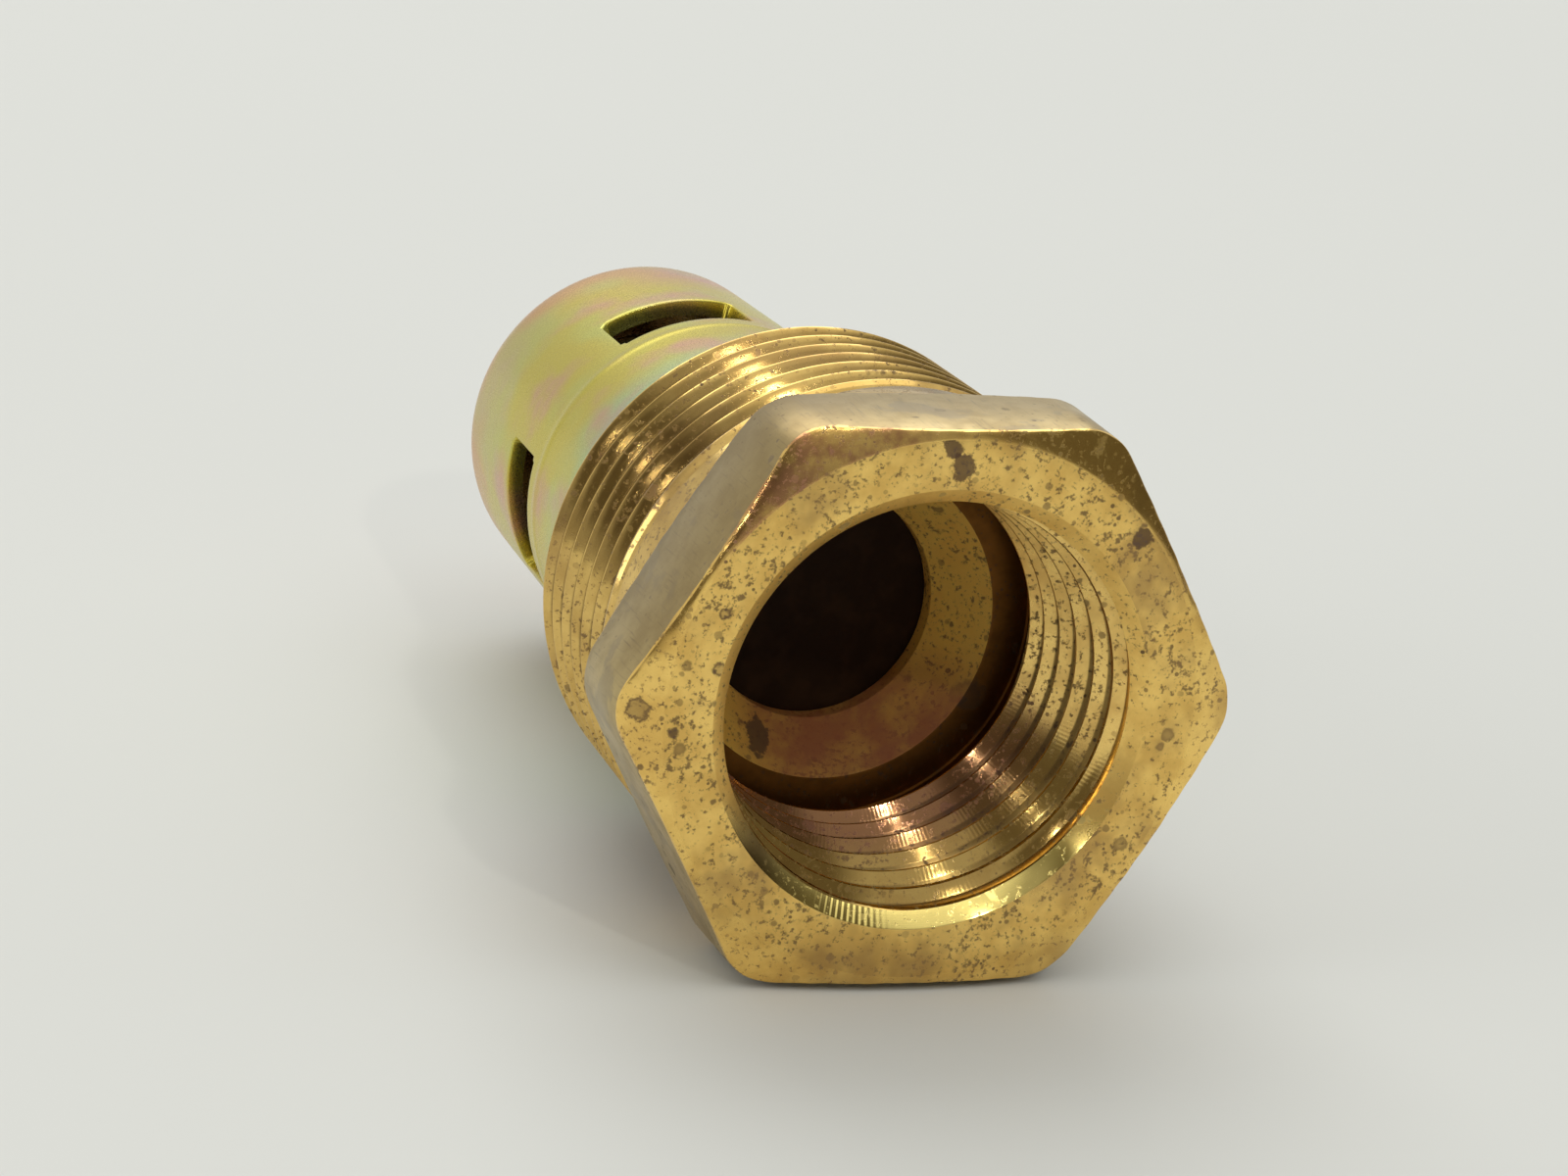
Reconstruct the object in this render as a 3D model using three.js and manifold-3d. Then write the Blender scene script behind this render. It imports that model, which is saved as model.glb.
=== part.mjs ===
// In-tank check valve, 1/2 in female by 3/4 in male taper pipe thread.
// Millimetres, +Z up. The flow axis is Y: air enters the hexagon's face from -Y and leaves
// through the slotted cage towards +Y. The origin is the centre of the overall box.

import * as THREE from 'three';
import { mergeVertices } from 'three/addons/utils/BufferGeometryUtils.js';
import Module from 'manifold-3d';

const wasm = await Module();
wasm.setup();

// ---------------------------------------------------------------- driving dimensions
const OVERALL_LENGTH = 50.4;
const FACETS = 36;                  // facets round every turned surface
const CLEARANCE = 0.3;              // between pieces that rest on or sit in each other
const CUT = 1;                      // how far a cutting solid runs past what it cuts

const THREAD = {
  pitch: 1.814,                     // 14 threads per inch
  taper: 1 / 32,                    // radius lost per millimetre of length
  flank: Math.tan(Math.PI / 6),     // half of the 60 degree form
};

const HEX = {
  acrossFlats: 28.575,
  height: 6.75,
  cornerRadius: 3.0,
  faceRadius: 13.95,                // flat turned faces inside the corner chamfers
  chamferSlope: 0.33,
};

const SHANK = {
  endY: 22.75,
  crestRadius: 13.03,               // at the outlet end, the small end of the taper
  threadDepth: 1.38,
  crestFlat: 0.14,
  endChamfer: 0.8,
  neckEndY: 8.3,
};

const INLET = {
  mouthRadius: 11.29,
  mouthDepth: 0.62,
  rootRadius: 10.57,                // thread root at the bottom of the countersink
  boreRadius: 9.35,                 // tapping bore, the thread's crests
  rootFlat: 0.08,
  threadEndY: 12.34,
  reliefRadius: 10.45,
  reliefEndY: 14.04,
  coneRadius: 8.5,
};

const SEAT = {
  orificeRadius: 6.15,
  coneEndY: 16.86,
  lipOuterRadius: 7.0,
  y: 18.0,
};

const CHAMBER = {
  floorY: 17.3,
  radius: 11.05,
  lipRadius: 10.62,                 // rolled lip that traps the cage's flange
  lipStartY: 21.3,
};

const CAGE = {
  wall: 0.9,
  mouthRadius: 10.35,
  taperStartY: 24,
  endRadius: 9.49,
  cornerRadius: 2.6,
  flangeRadius: 10.8,
  flangeHeight: 1.6,
  slots: 4,
  slotWidth: 7.5,
  slotStartY: 36,
  slotEndY: 40.2,
  slotCorner: 0.7,
  firstSlotAngle: 11,               // degrees from +X towards +Z
};

const SEAT_DISC = { radius: 7.3, thickness: 2, gap: 0.15 };

const POPPET = {
  headRadius: 8.0,
  rimSetback: 0.5,                  // rim behind the disc's sealing face
  headEndY: 22.2,
  ribRadius: 8.9,
  ribWidth: 2.4,
  ribEndY: 25,
  ribs: 4,
  stemRadius: 3.4,
  stemEndY: 32.5,
};

const SPRING = { wire: 0.9, meanRadius: 5.2, activeTurns: 6, closedTurns: 1.25, closedGap: 0.12 };

// ---------------------------------------------------------------- finishes
const brass = new THREE.MeshStandardMaterial({ color: 0xc9a45a, roughness: 0.4, metalness: 0.95 });
const yellowZinc = new THREE.MeshStandardMaterial({ color: 0xb5ad6a, roughness: 0.36, metalness: 0.85 });
const darkRubber = new THREE.MeshStandardMaterial({ color: 0x2a1b12, roughness: 0.75, metalness: 0 });
const blackNylon = new THREE.MeshStandardMaterial({ color: 0x1d1b19, roughness: 0.6, metalness: 0 });
const springSteel = new THREE.MeshStandardMaterial({ color: 0x9a9a98, roughness: 0.3, metalness: 0.95 });

// ---------------------------------------------------------------- solids
function toSolid(geometry) {
  const bare = geometry.index ? geometry.toNonIndexed() : geometry.clone();
  bare.deleteAttribute('normal');
  bare.deleteAttribute('uv');
  const merged = mergeVertices(bare, 1e-4);
  return new wasm.Manifold(new wasm.Mesh({
    numProp: 3,
    vertProperties: new Float32Array(merged.attributes.position.array),
    triVerts: new Uint32Array(merged.index.array),
  }));
}

function toGeometry(solid) {
  const { vertProperties, triVerts } = solid.getMesh();
  const geometry = new THREE.BufferGeometry();
  geometry.setAttribute('position', new THREE.BufferAttribute(vertProperties, 3));
  geometry.setIndex(new THREE.BufferAttribute(triVerts, 1));
  return geometry;
}

// Turns an outline of [radius, y] points, listed with the material on its left, about the Y axis.
function turned(outline) {
  const points = outline.map(([radius, y]) => new THREE.Vector2(radius, y));
  return toSolid(new THREE.LatheGeometry(points, FACETS));
}

// A round corner from angle a to angle b, in degrees, as [radius, y] points.
function cornerArc(centreRadius, centreY, radius, a, b, steps) {
  return Array.from({ length: steps + 1 }, (_, i) => {
    const angle = THREE.MathUtils.degToRad(a + ((b - a) * i) / steps);
    return [centreRadius + radius * Math.cos(angle), centreY + radius * Math.sin(angle)];
  });
}

// A right-hand threaded bar about Y, longer than [startY, endY] by a turn at each end.
// radii(y) gives its { outer, inner } thread radii there.
function threadedBar(startY, endY, outerFlat, radii) {
  const { pitch, flank } = THREAD;
  const firstY = startY - 1.5 * pitch;
  const steps = FACETS * Math.ceil((endY - firstY) / pitch + 1.5);
  const positions = [];
  for (let step = 0; step <= steps; step += 1) {
    const angle = (2 * Math.PI * step) / FACETS;
    const y = firstY + (pitch * step) / FACETS;
    const { outer, inner } = radii(y);
    const flankEnd = outerFlat / 2 + (outer - inner) * flank;
    const section = [
      [outer, -outerFlat / 2], [outer, outerFlat / 2], [inner, flankEnd], [inner, pitch - flankEnd],
    ];
    for (const [radius, offset] of section) {
      positions.push(radius * Math.cos(angle), y + offset, -radius * Math.sin(angle));
    }
  }
  const at = (step, corner) => (corner < 4 ? 4 * step + corner : 4 * (step + FACETS));
  const startCentre = positions.length / 3;
  const endCentre = startCentre + 1;
  positions.push(0, firstY + pitch / 2, 0);
  positions.push(0, firstY + (pitch * steps) / FACETS, 0);

  const index = [];
  for (let step = 0; step < steps; step += 1) {
    const corners = step + FACETS < steps ? 4 : 3;
    for (let corner = 0; corner < corners; corner += 1) {
      const a = at(step, corner);
      const b = at(step + 1, corner);
      const c = at(step + 1, corner + 1);
      index.push(a, b, c, a, c, at(step, corner + 1));
    }
  }
  for (let step = 0; step < FACETS; step += 1) {
    const top = steps - FACETS + step;
    index.push(startCentre, at(step + 1, 0), at(step, 0));
    index.push(endCentre, at(top, 3), at(top + 1, 3));
  }
  for (let corner = 0; corner < 3; corner += 1) {
    index.push(startCentre, at(0, corner), at(0, corner + 1));
    index.push(endCentre, at(steps, corner + 1), at(steps, corner));
  }
  index.push(startCentre, at(0, 3), at(FACETS, 0));
  index.push(endCentre, at(steps, 0), at(steps - FACETS, 3));
  const geometry = new THREE.BufferGeometry();
  geometry.setAttribute('position', new THREE.Float32BufferAttribute(positions, 3));
  geometry.setIndex(index);
  return toSolid(geometry);
}

// ---------------------------------------------------------------- valve body
function hexBar() {
  const apothem = HEX.acrossFlats / 2 - HEX.cornerRadius;
  const shape = new THREE.Shape();
  for (let i = 0; i < 6; i += 1) {
    const angle = (i * Math.PI) / 3;
    const centre = apothem / Math.cos(Math.PI / 6);
    const x = centre * Math.cos(angle);
    const y = centre * Math.sin(angle);
    shape.absarc(x, y, HEX.cornerRadius, angle - Math.PI / 6, angle + Math.PI / 6, false);
  }
  const bar = new THREE.ExtrudeGeometry(shape, {
    depth: HEX.height, bevelEnabled: false, curveSegments: 4,
  });
  bar.rotateX(-Math.PI / 2);
  return toSolid(bar);
}

function hexHead() {
  const rim = HEX.acrossFlats / Math.sqrt(3);
  const rimY = (rim - HEX.faceRadius) * HEX.chamferSlope;
  const chamferTurning = turned([
    [0, 0], [HEX.faceRadius, 0], [rim, rimY], [rim, HEX.height - rimY],
    [HEX.faceRadius, HEX.height], [0, HEX.height],
  ]);
  return hexBar().intersect(chamferTurning);
}

function shankRadius(y) {
  return SHANK.crestRadius + (SHANK.endY - y) * THREAD.taper;
}

// The shank's outline with room for the thread's crests, a plain neck and the end chamfer.
function shankEnvelope() {
  const bedY = HEX.height / 2;
  const neck = shankRadius(HEX.height);
  const clear = shankRadius(0) + 1;
  const chamferY = SHANK.endY - SHANK.endChamfer;
  const chamferRise = clear - SHANK.crestRadius;
  return turned([
    [0, bedY], [neck, bedY], [neck, SHANK.neckEndY],
    [clear, SHANK.neckEndY + clear - neck], [clear, chamferY - chamferRise],
    [SHANK.crestRadius - SHANK.endChamfer, SHANK.endY], [0, SHANK.endY],
  ]);
}

// The male thread, whose grooves run out to almost nothing over the last turn before the neck.
function maleThread() {
  const leastDepth = 0.04;
  return threadedBar(0, SHANK.endY, SHANK.crestFlat, (y) => {
    const grown = THREE.MathUtils.clamp((y - SHANK.neckEndY) / THREAD.pitch, leastDepth, 1);
    return { outer: shankRadius(y), inner: shankRadius(y) - SHANK.threadDepth * grown };
  });
}

function inletRootRadius(y) {
  return INLET.rootRadius - (y - INLET.mouthDepth) * THREAD.taper;
}

// The space inside the female thread, from the countersink into the relief.
function inletThread() {
  const endY = (INLET.threadEndY + INLET.reliefEndY) / 2;
  const limits = turned([
    [0, -CUT], [HEX.faceRadius, -CUT], [HEX.faceRadius, endY], [0, endY],
  ]);
  return threadedBar(-CUT, endY, INLET.rootFlat, (y) => (
    { outer: inletRootRadius(y), inner: INLET.boreRadius }
  )).intersect(limits);
}

function inletPassage() {
  const flankY = INLET.mouthDepth + (INLET.rootRadius - INLET.boreRadius) * THREAD.flank;
  const reliefY = INLET.threadEndY + (INLET.reliefRadius - INLET.boreRadius) * THREAD.flank;
  const core = INLET.boreRadius - CUT;
  return turned([
    [0, -CUT], [INLET.mouthRadius + CUT, -CUT], [INLET.rootRadius, INLET.mouthDepth],
    [core, flankY + CUT * THREAD.flank], [core, INLET.threadEndY - CUT * THREAD.flank],
    [INLET.reliefRadius, reliefY], [INLET.reliefRadius, INLET.reliefEndY],
    [INLET.coneRadius, INLET.reliefEndY], [SEAT.orificeRadius, SEAT.coneEndY],
    [SEAT.orificeRadius, SHANK.endY + CUT], [0, SHANK.endY + CUT],
  ]);
}

function outletChamber() {
  const lipRise = CHAMBER.radius - CHAMBER.lipRadius;
  const core = SEAT.orificeRadius - CUT;
  return turned([
    [core, SEAT.y], [SEAT.lipOuterRadius, SEAT.y], [SEAT.lipOuterRadius, CHAMBER.floorY],
    [CHAMBER.radius, CHAMBER.floorY], [CHAMBER.radius, CHAMBER.lipStartY - lipRise],
    [CHAMBER.lipRadius, CHAMBER.lipStartY], [CHAMBER.lipRadius, SHANK.endY + 2 * CUT],
    [core, SHANK.endY + 2 * CUT], [core, SEAT.y],
  ]);
}

function valveBody() {
  const passage = inletThread().add(inletPassage()).add(outletChamber());
  const shank = maleThread().intersect(shankEnvelope());
  return toGeometry(hexHead().add(shank).subtract(passage));
}

// ---------------------------------------------------------------- retainer cage
function cageShell() {
  const { wall, cornerRadius } = CAGE;
  const bottomY = CHAMBER.floorY + CLEARANCE;
  const flangeTop = bottomY + CAGE.flangeHeight;
  const innerCorner = cornerRadius - wall;
  const bendRadius = CAGE.endRadius - cornerRadius;
  const bendY = OVERALL_LENGTH - cornerRadius;
  const bendSteps = 5;
  return turned([
    [CAGE.mouthRadius - wall, bottomY], [CAGE.flangeRadius, bottomY],
    [CAGE.flangeRadius, flangeTop], [CAGE.mouthRadius, flangeTop + wall],
    [CAGE.mouthRadius, CAGE.taperStartY],
    ...cornerArc(bendRadius, bendY, cornerRadius, 0, 90, bendSteps),
    [0, OVERALL_LENGTH], [0, OVERALL_LENGTH - wall],
    ...cornerArc(bendRadius, bendY, innerCorner, 90, 0, bendSteps),
    [CAGE.mouthRadius - wall, CAGE.taperStartY], [CAGE.mouthRadius - wall, bottomY],
  ]);
}

function slotPunch(index) {
  const halfWidth = CAGE.slotWidth / 2;
  const halfHeight = (CAGE.slotEndY - CAGE.slotStartY) / 2;
  const r = CAGE.slotCorner;
  const shape = new THREE.Shape();
  shape.absarc(halfWidth - r, halfHeight - r, r, 0, Math.PI / 2, false);
  shape.absarc(-halfWidth + r, halfHeight - r, r, Math.PI / 2, Math.PI, false);
  shape.absarc(-halfWidth + r, -halfHeight + r, r, Math.PI, 1.5 * Math.PI, false);
  shape.absarc(halfWidth - r, -halfHeight + r, r, 1.5 * Math.PI, 2 * Math.PI, false);
  const punch = new THREE.ExtrudeGeometry(shape, {
    depth: CAGE.mouthRadius, bevelEnabled: false, curveSegments: 3,
  });
  punch.translate(0, (CAGE.slotStartY + CAGE.slotEndY) / 2, CAGE.mouthRadius / 2);
  const angle = CAGE.firstSlotAngle + (index * 360) / CAGE.slots;
  punch.rotateY(THREE.MathUtils.degToRad(90 - angle));
  return toSolid(punch);
}

function retainerCage() {
  let shell = cageShell();
  for (let i = 0; i < CAGE.slots; i += 1) {
    shell = shell.subtract(slotPunch(i));
  }
  return toGeometry(shell);
}

// ---------------------------------------------------------------- seat disc and poppet
const discY = SEAT.y + SEAT_DISC.gap;

function seatDisc() {
  const { radius, thickness } = SEAT_DISC;
  const edge = 0.3;
  return toGeometry(turned([
    [0, discY], [radius - edge, discY], [radius, discY + edge], [radius, discY + thickness],
    [0, discY + thickness],
  ]));
}

function poppetRib(index) {
  const startY = discY + POPPET.rimSetback;
  const rib = new THREE.BoxGeometry(2 * POPPET.ribRadius, POPPET.ribEndY - startY, POPPET.ribWidth);
  rib.translate(0, (POPPET.ribEndY + startY) / 2, 0);
  rib.rotateY((index * 2 * Math.PI) / POPPET.ribs);
  return toSolid(rib);
}

function poppet() {
  const rimY = discY + POPPET.rimSetback;
  const pocketY = discY + SEAT_DISC.thickness + CLEARANCE;
  const pocketRadius = SEAT_DISC.radius + CLEARANCE;
  const skirtRadius = SPRING.meanRadius + SPRING.wire;
  const tip = 0.8;
  const pocket = turned([
    [0, rimY - CUT], [pocketRadius, rimY - CUT], [pocketRadius, pocketY], [0, pocketY],
  ]);
  const springWell = turned([
    [POPPET.stemRadius, POPPET.headEndY], [skirtRadius + CLEARANCE, POPPET.headEndY],
    [skirtRadius + CLEARANCE, POPPET.ribEndY + CUT], [POPPET.stemRadius, POPPET.ribEndY + CUT],
    [POPPET.stemRadius, POPPET.headEndY],
  ]);
  let solid = turned([
    [0, rimY], [POPPET.headRadius, rimY], [POPPET.headRadius, POPPET.headEndY],
    [POPPET.stemRadius, POPPET.headEndY], [POPPET.stemRadius, POPPET.stemEndY - tip],
    [POPPET.stemRadius - tip, POPPET.stemEndY], [0, POPPET.stemEndY],
  ]);
  for (let i = 0; i < POPPET.ribs / 2; i += 1) {
    solid = solid.add(poppetRib(i));
  }
  return toGeometry(solid.subtract(springWell).subtract(pocket));
}

// ---------------------------------------------------------------- spring
class SpringCurve extends THREE.Curve {
  constructor(startY, endY) {
    super();
    this.startY = startY;
    this.turns = SPRING.activeTurns + 2 * SPRING.closedTurns;
    this.closedPitch = SPRING.wire + SPRING.closedGap;
    const closedLength = 2 * SPRING.closedTurns * this.closedPitch;
    this.activePitch = (endY - startY - closedLength) / SPRING.activeTurns;
  }

  getPoint(t, target = new THREE.Vector3()) {
    const turn = t * this.turns;
    const active = THREE.MathUtils.clamp(turn - SPRING.closedTurns, 0, SPRING.activeTurns);
    const y = this.startY + (turn - active) * this.closedPitch + active * this.activePitch;
    const angle = 2 * Math.PI * turn;
    const radius = SPRING.meanRadius;
    return target.set(radius * Math.cos(angle), y, -radius * Math.sin(angle));
  }
}

function spring() {
  const stepsPerTurn = 14;
  const half = SPRING.wire / 2;
  const startY = POPPET.headEndY + CLEARANCE + half;
  const endY = OVERALL_LENGTH - CAGE.wall - CLEARANCE - half;
  const path = new SpringCurve(startY, endY);
  const section = new THREE.Shape().absarc(0, 0, half, 0, 2 * Math.PI, false);
  return toGeometry(toSolid(new THREE.ExtrudeGeometry(section, {
    steps: Math.round(path.turns * stepsPerTurn), extrudePath: path, curveSegments: 4,
  })));
}

// ---------------------------------------------------------------- assembly
const valve = new THREE.Group();
valve.position.y = -OVERALL_LENGTH / 2;

function place(name, geometry, material) {
  const mesh = new THREE.Mesh(geometry, material);
  mesh.name = name;
  valve.add(mesh);
}

place('valve_body', valveBody(), brass);
place('retainer_cage', retainerCage(), yellowZinc);
place('seat_disc', seatDisc(), darkRubber);
place('poppet', poppet(), blackNylon);
place('spring', spring(), springSteel);

export default valve;
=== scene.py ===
"""In-tank check valve: the visual pieces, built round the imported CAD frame.

Metres, +Z up, flow along +Y. Pieces are drawn in millimetres from the inlet face and scaled at
the end, so a point (x, y, z) in the building code has y = 0 on the face of the hexagon.
"""

import math

import bmesh
import bpy
import numpy as np
from mathutils import Matrix, Vector


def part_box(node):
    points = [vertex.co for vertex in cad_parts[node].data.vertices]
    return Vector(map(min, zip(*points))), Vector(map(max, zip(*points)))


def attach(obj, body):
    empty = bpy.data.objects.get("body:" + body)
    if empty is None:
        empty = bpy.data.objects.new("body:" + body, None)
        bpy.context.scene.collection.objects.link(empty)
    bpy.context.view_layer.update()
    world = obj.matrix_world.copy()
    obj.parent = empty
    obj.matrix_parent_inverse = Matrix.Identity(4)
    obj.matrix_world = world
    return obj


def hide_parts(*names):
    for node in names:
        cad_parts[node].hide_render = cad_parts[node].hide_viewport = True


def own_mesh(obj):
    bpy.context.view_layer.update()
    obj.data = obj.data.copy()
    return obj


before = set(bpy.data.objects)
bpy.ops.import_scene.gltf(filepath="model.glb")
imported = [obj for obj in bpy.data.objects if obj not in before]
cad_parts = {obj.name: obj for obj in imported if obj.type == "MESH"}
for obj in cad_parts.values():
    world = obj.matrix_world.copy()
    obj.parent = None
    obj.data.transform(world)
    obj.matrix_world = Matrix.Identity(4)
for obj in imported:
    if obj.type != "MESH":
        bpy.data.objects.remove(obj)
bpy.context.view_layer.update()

# ------------------------------------------------------------------ driving dimensions, in mm
MM = 0.001
body_low, body_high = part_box("valve_body")
cage_low, cage_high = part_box("retainer_cage")
disc_low, disc_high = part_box("seat_disc")
poppet_low, poppet_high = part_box("poppet")
spring_low, spring_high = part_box("spring")

INLET_Y = body_low.y                                # where the building code's y = 0 lies
FLAT = body_high.z / MM                             # centre to hexagon flat
BODY_LENGTH = (body_high.y - INLET_Y) / MM
CAGE_START = (cage_low.y - INLET_Y) / MM
CAGE_END = (cage_high.y - INLET_Y) / MM
DISC_START = (disc_low.y - INLET_Y) / MM
DISC_END = (disc_high.y - INLET_Y) / MM
POPPET_START = (poppet_low.y - INLET_Y) / MM
POPPET_END = (poppet_high.y - INLET_Y) / MM
SPRING_START = (spring_low.y - INLET_Y) / MM
SPRING_END = (spring_high.y - INLET_Y) / MM

PITCH = 1.814                                       # 14 threads per inch
TAPER = 1 / 32                                      # radius lost per mm of length
FLANK = math.tan(math.radians(30))
HEX_HEIGHT = 6.75
HEX_CORNER = 3.0
FACE_RADIUS = 13.95
CHAMFER_SLOPE = 0.33
NECK_RADIUS = FACE_RADIUS - 0.3                     # where the neck meets the hexagon
NECK_END = 9.3
MALE_CREST = 13.42                                  # at the outlet end
MALE_DEPTH = 1.38
MALE_FLAT = 0.14
MALE_PHASE = 20.3                                   # y of one crest at angle 0
END_CHAMFER = 0.8
MOUTH_RADIUS = 11.29
MOUTH_DEPTH = 0.62
ROOT_RADIUS = 10.57                                 # the countersink's small end
ROOT_LIMIT = 10.95                                  # the deepest groove
BORE_RADIUS = 9.35
BORE_FLARE = 0.85                                   # how much wider the crests are at FLARE_Y
FLARE_Y = 2.5
FEMALE_PHASE = 2.17                                 # y of one crest at angle 0
FEMALE_FLAT = 0.1
FIRST_FLAT = 0.34                                   # the first crest is cut back more
FIRST_LEAN = 0.8                                    # and its flat leans towards the mouth
THREAD_END = 12.34
RELIEF_RADIUS = 10.45
RELIEF_END = 14.04
CONE_RADIUS = 8.5
CONE_END = 16.86
ORIFICE_RADIUS = 6.15
SEAT_Y = 18.0
SEAT_RADIUS = 7.0
CHAMBER_FLOOR = 17.3
CHAMBER_RADIUS = 11.05
LIP_RADIUS = 10.62
LIP_START = 21.3

CAGE_MOUTH = 10.35
CAGE_END_RADIUS = 9.49
CAGE_TAPER_START = 24.0
CAGE_CORNER = 2.6
CAGE_WALL = 0.9
CAGE_FLANGE = 10.8
FLANGE_HEIGHT = 1.6
CREASE_Y = 34.6
SLOT_LOW = 36.0
SLOT_HIGH = 40.2
SLOT_HALF_ANGLE = 22.3
SLOT_CORNER = 0.7
FIRST_SLOT = 11.0

DISC_RADIUS = 7.3
HEAD_RADIUS = 8.0
HEAD_END = 22.2
STEM_RADIUS = 3.4
RIB_RADIUS = 8.9
RIB_WIDTH = 2.4
RIB_END = 25.0
WIRE = 0.9
COIL_RADIUS = 5.2
ACTIVE_TURNS = 6
CLOSED_TURNS = 1.25
CLOSED_PITCH = 1.02

COLUMNS = 360
ANGLE = np.linspace(0, 2 * math.pi, COLUMNS + 1)


# ------------------------------------------------------------------ mesh tools
def around(value):
    """One value for every column of the body's grid."""
    return np.full_like(ANGLE, value)


def fillet(corner_radius, corner_y, size, start_deg, end_deg, steps=4):
    """Points of a small arc about (corner_radius, corner_y), from one direction to another."""
    turns = np.radians(np.linspace(start_deg, end_deg, steps + 1))
    return [(corner_radius + size * math.cos(t), corner_y + size * math.sin(t)) for t in turns]


def swept_mesh(name, patches, angle=ANGLE):
    """One welded mesh from patches. A patch is (material index, rows), and a row goes round the
    axis. Rows that meet or lie on each other are welded, and faces with no area are left out."""
    points = []
    faces = []
    zones = []
    start = 0
    columns = len(angle)
    for zone, rows in patches:
        for radius, y in rows:
            along = y + 0 * angle
            points.append(np.stack([radius * np.cos(angle), along, radius * np.sin(angle)], 1))
        for row in range(len(rows) - 1):
            first = start + row * columns + np.arange(columns - 1)
            after = first + columns
            faces.append(np.stack([first, first + 1, after + 1, after], 1))
            zones.append(np.full(columns - 1, zone))
        start += len(rows) * columns
    points = np.concatenate(points)
    faces = np.concatenate(faces)
    zones = np.concatenate(zones)
    keys = np.round(points, 4) + 0.0
    _, kept, welded = np.unique(keys, axis=0, return_index=True, return_inverse=True)
    corners = welded.reshape(-1)[faces]
    clean = []
    clean_zones = []
    for face, zone in zip(corners.tolist(), zones.tolist()):
        outline = [v for i, v in enumerate(face) if v != face[i - 1]]
        if len(set(outline)) == len(outline) and len(outline) > 2:
            clean.append(outline)
            clean_zones.append(zone)
    return mesh_object(name, points[kept], clean, clean_zones)


def mesh_object(name, points, faces, zones=None):
    """A new object from points in mm from the inlet face."""
    placed = np.asarray(points, float) * MM
    placed[:, 1] += INLET_Y
    mesh = bpy.data.meshes.new(name)
    mesh.from_pydata(placed.tolist(), [], faces)
    if zones is not None:
        mesh.polygons.foreach_set("material_index", np.asarray(zones, np.int32))
    mesh.update()
    piece = bpy.data.objects.new(name, mesh)
    bpy.context.scene.collection.objects.link(piece)
    return piece


def finish_surface(piece, crease_deg=32):
    """Outward normals, smooth faces, and sharp edges where the surface really turns."""
    work = bmesh.new()
    work.from_mesh(piece.data)
    bmesh.ops.recalc_face_normals(work, faces=work.faces)
    limit = math.radians(crease_deg)
    for face in work.faces:
        face.smooth = True
    for edge in work.edges:
        edge.smooth = not (len(edge.link_faces) == 2 and edge.calc_face_angle(0) > limit)
    work.to_mesh(piece.data)
    work.free()
    return piece


def apply_modifiers(piece):
    """The mesh with its modifiers made real, so that it is final before it rides."""
    graph = bpy.context.evaluated_depsgraph_get()
    made = bpy.data.meshes.new_from_object(piece.evaluated_get(graph))
    piece.modifiers.clear()
    piece.data = made
    return piece


def dress(piece, *materials):
    """Gives a piece its materials, in the order of its faces' zone numbers."""
    for material in materials:
        piece.data.materials.append(material)
    return piece


def softened(value, limit, ease):
    """value held between 0 and limit, with both ends of the ramp rounded by ease."""
    held = 0.5 * (value + np.sqrt(value * value + ease * ease))
    left = limit - held
    return limit - 0.5 * (left + np.sqrt(left * left + ease * ease))


# ------------------------------------------------------------------ threads
ROW_STEPS = (-0.49, -0.45, -0.40, -0.32, -0.22, -0.13, -0.075, -0.035,
             0.0, 0.035, 0.075, 0.13, 0.22, 0.32, 0.40, 0.45)


def past_crest(y, phase):
    """How far along the axis a point lies past the middle of its nearest crest."""
    turn = (y - phase) / PITCH + ANGLE / (2 * math.pi)
    return ((turn + 0.5) % 1 - 0.5) * PITCH


def helix_rows(low, high, phase, radius_at):
    """Rows that follow a right-hand helix between two circles. What runs past a circle lies on it."""
    first = math.floor((low - phase) / PITCH) - 1
    last = math.ceil((high - phase) / PITCH) + 2
    rows = []
    for turn in range(first, last):
        for step in ROW_STEPS:
            y = phase + PITCH * (turn + step - ANGLE / (2 * math.pi))
            held = np.clip(y, low, high)
            rows.append((radius_at(held), held))
    return rows


def shank_radius(y):
    return MALE_CREST + (BODY_LENGTH - y) * TAPER


def male_radius(y):
    depth = (np.abs(past_crest(y, MALE_PHASE)) - MALE_FLAT / 2) / FLANK
    grown = np.clip((y - NECK_END) / PITCH, 0, 1)
    thread = shank_radius(y) - grown * softened(depth, MALE_DEPTH, 0.06)
    chamfer = MALE_CREST - END_CHAMFER + (BODY_LENGTH - y)
    return np.minimum(thread, chamfer)


def female_radius(y):
    """Sharp crests that open out towards the mouth, and 60 degree grooves between them."""
    crest = BORE_RADIUS + BORE_FLARE * ((THREAD_END - y) / (THREAD_END - FLARE_Y)) ** 2
    opened = np.clip((y - MOUTH_DEPTH) / 0.8, 0, 1)
    root = ROOT_RADIUS + (ROOT_LIMIT - ROOT_RADIUS) * opened - (y - MOUTH_DEPTH) * TAPER
    first = np.clip((4.2 - y) / 1.5, 0, 1)
    flat = FEMALE_FLAT + (FIRST_FLAT - FEMALE_FLAT) * first
    past = past_crest(y, FEMALE_PHASE)
    lean = FIRST_LEAN * first * np.clip(flat / 2 - past, 0, flat)
    groove = (np.abs(past) - flat / 2) / FLANK + lean
    thread = crest + softened(groove, np.maximum(root - crest, 0), 0.03)
    relief = BORE_RADIUS + (y - THREAD_END) / FLANK
    return np.maximum(thread, relief)


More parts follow.
